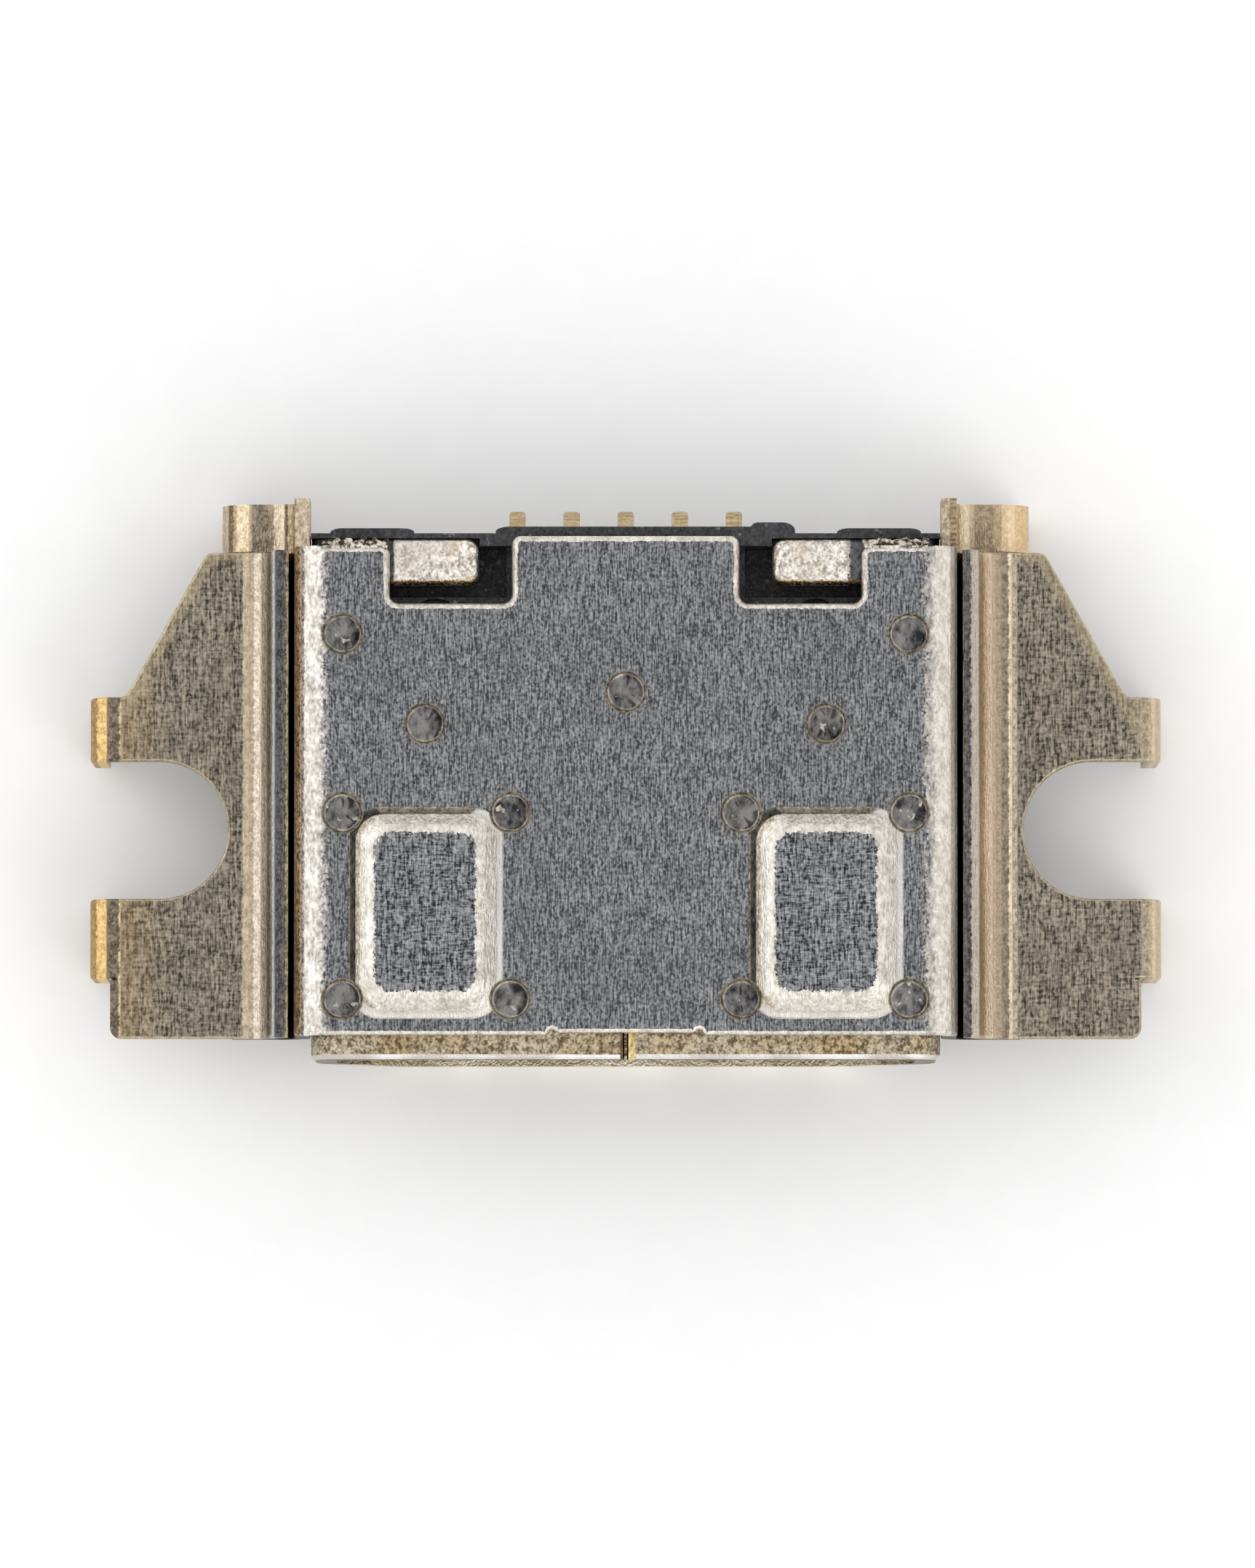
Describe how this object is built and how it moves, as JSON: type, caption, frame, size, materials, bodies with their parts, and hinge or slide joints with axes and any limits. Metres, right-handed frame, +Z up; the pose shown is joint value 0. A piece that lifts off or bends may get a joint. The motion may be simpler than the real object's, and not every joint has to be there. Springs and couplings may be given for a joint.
{
  "type": "micro USB socket with side wings",
  "caption": "Micro USB receptacle in a folded metal cover, with a screw-notched wing and bent solder lips on each side and contact feet at the rear.",
  "frame": {"origin": "middle of the bounding box's base: under the centre of the footprint, on the plane the narrow wall lies on", "axes": "+X across the socket towards its right wing, +Y from the mouth to the contact feet, +Z up through the cover"},
  "size_m": [0.0128, 0.0068, 0.0028],
  "materials": {
    "shell_nickel": "nickel plated",
    "cover_stainless": "brushed",
    "bracket_nickel": "nickel plated",
    "housing_plastic": "moulded",
    "contact_plating": "plated"
  },
  "bodies": {
    "root": {"inner_shell": "shell_nickel", "cover_shell": "cover_stainless", "left_bracket": "bracket_nickel", "right_bracket": "bracket_nickel", "housing": "housing_plastic", "contact_1": "contact_plating", "contact_2": "contact_plating", "contact_3": "contact_plating", "contact_4": "contact_plating", "contact_5": "contact_plating"}
  },
  "joints": []
}
